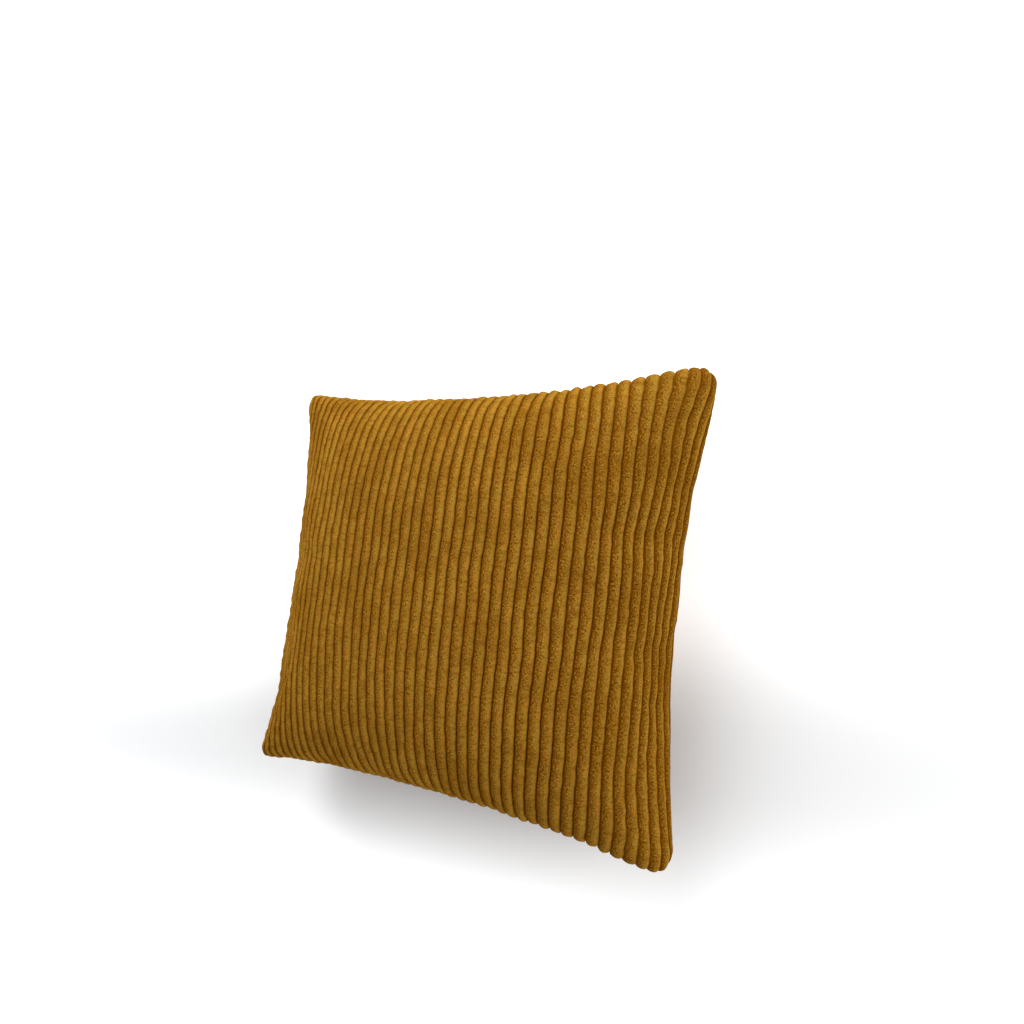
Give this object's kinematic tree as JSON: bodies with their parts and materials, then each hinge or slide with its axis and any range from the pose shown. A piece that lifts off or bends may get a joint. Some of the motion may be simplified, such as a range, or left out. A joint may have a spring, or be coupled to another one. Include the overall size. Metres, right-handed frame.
{
  "type": "throw cushion",
  "caption": "Square filled throw cushion in wide-wale corduroy, two panels sewn together all round, lying on its back on a flat patch.",
  "frame": {"origin": "the middle of the bounding box's underside, on the surface that carries the cushion", "axes": "+X across the wales, +Y along the wales, +Z out of the front panel, upwards as the cushion lies on its back"},
  "size_m": [0.4218, 0.4178, 0.1556],
  "materials": {
    "corduroy": "wide-wale cotton corduroy pile, mustard ochre"
  },
  "bodies": {
    "root": {"cushion": "corduroy"}
  },
  "joints": []
}
